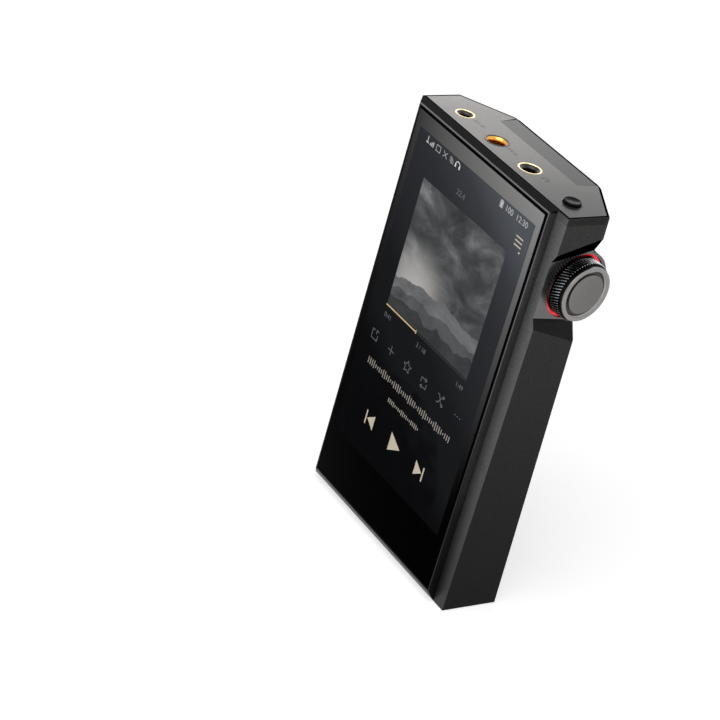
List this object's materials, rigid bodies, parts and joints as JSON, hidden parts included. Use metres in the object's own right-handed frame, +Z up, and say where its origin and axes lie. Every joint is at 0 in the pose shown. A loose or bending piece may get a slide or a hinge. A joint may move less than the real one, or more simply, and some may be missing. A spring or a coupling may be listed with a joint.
{
  "type": "digital audio player",
  "caption": "Faceted pocket music player with a glass front, headphone sockets and a round power key on top, pin keys on one side and a lit volume wheel in a notch on the other.",
  "frame": {"origin": "on the flat bottom face, under the middle of the block's width and of the overall depth", "axes": "+Z up towards the sockets, -Y out of the screen, +X towards the volume wheel's side"},
  "size_m": [0.0696, 0.0236, 0.1175],
  "materials": {
    "anodised_body": "fine blasted, dark anodised",
    "top_satin": "satin, dark anodised",
    "rear_brushed": "vertically brushed, dark anodised",
    "frame_metal": "fine blasted with a polished edge",
    "window_black": "gloss",
    "screen_glass": "polished",
    "display": "lit screen",
    "tray_steel": "brushed",
    "ring_gold": "polished gold plate",
    "ring_dark": "gloss black",
    "insulator_black": "matt",
    "key_gloss": "gloss",
    "pin_metal": "satin",
    "wheel_dark": "knurled, satin",
    "wheel_satin": "satin",
    "shaft_steel": "turned",
    "bush_brass": "turned",
    "light_red": "lit, frosted",
    "board": "solder mask",
    "battery_wrap": "foil wrap",
    "pad_foam": "matt",
    "capacitor_shell": "printed can"
  },
  "bodies": {
    "player": {"amplifier_shield": "tray_steel", "antenna_board": "board", "antenna_window": "window_black", "audio_board": "board", "audio_screw_1": "shaft_steel", "audio_screw_2": "shaft_steel", "battery": "battery_wrap", "battery_pad": "pad_foam", "board_link": "insulator_black", "bottom_cap": "anodised_body", "capacitor_1": "capacitor_shell", "capacitor_2": "capacitor_shell", "card_slot": "tray_steel", "converter_chip_left": "insulator_black", "converter_chip_right": "insulator_black", "cover_glass": "screen_glass", "display_panel": "display", "display_tray": "tray_steel", "encoder": "insulator_black", "encoder_board": "board", "front_frame": "frame_metal", "housing": "anodised_body", "key_board": "board", "key_switch_lower": "insulator_black", "key_switch_middle": "insulator_black", "key_switch_upper": "insulator_black", "light_ring": "light_red", "main_board": "board", "main_screw_1": "shaft_steel", "main_screw_2": "shaft_steel", "main_screw_3": "shaft_steel", "main_screw_4": "shaft_steel", "memory_chip": "insulator_black", "port_board": "board", "power_chip": "insulator_black", "power_rim": "ring_dark", "power_switch": "insulator_black", "processor_shield": "tray_steel", "rear_cover": "rear_brushed", "shaft_bush": "bush_brass", "socket_body_2p5": "insulator_black", "socket_body_3p5": "insulator_black", "socket_body_4p4": "ring_gold", "socket_rim_2p5": "ring_gold", "socket_rim_3p5": "ring_gold", "socket_rim_4p4": "ring_dark", "top_cap": "top_satin", "usb_port": "tray_steel"},
    "volume_wheel": {"wheel_knob": "wheel_dark", "wheel_ring": "wheel_satin", "wheel_cap": "wheel_satin", "wheel_shaft": "shaft_steel"},
    "power_key": {"power_button": "key_gloss"},
    "track_key_upper": {"pin_key_upper": "pin_metal"},
    "track_key_middle": {"pin_key_middle": "pin_metal"},
    "track_key_lower": {"pin_key_lower": "pin_metal"}
  },
  "joints": [
    {"name": "volume_turn", "type": "hinge", "parent": "player", "child": "volume_wheel", "pos_m": [0.03486, 0.00222, 0.0961], "axis": [0.9962, 0.0872, 0], "continuous": true},
    {"name": "power_press", "type": "slide", "parent": "player", "child": "power_key", "axis": [0, 0, -1], "range_m": [0, 0.0004], "stiffness_N_per_m": 500, "springref_m": -0.0002},
    {"name": "track_press_upper", "type": "slide", "parent": "player", "child": "track_key_upper", "axis": [1, 0, 0], "range_m": [0, 0.0004], "stiffness_N_per_m": 400, "springref_m": -0.0002},
    {"name": "track_press_middle", "type": "slide", "parent": "player", "child": "track_key_middle", "axis": [1, 0, 0], "range_m": [0, 0.0004], "stiffness_N_per_m": 400, "springref_m": -0.0002},
    {"name": "track_press_lower", "type": "slide", "parent": "player", "child": "track_key_lower", "axis": [1, 0, 0], "range_m": [0, 0.0004], "stiffness_N_per_m": 400, "springref_m": -0.0002}
  ]
}
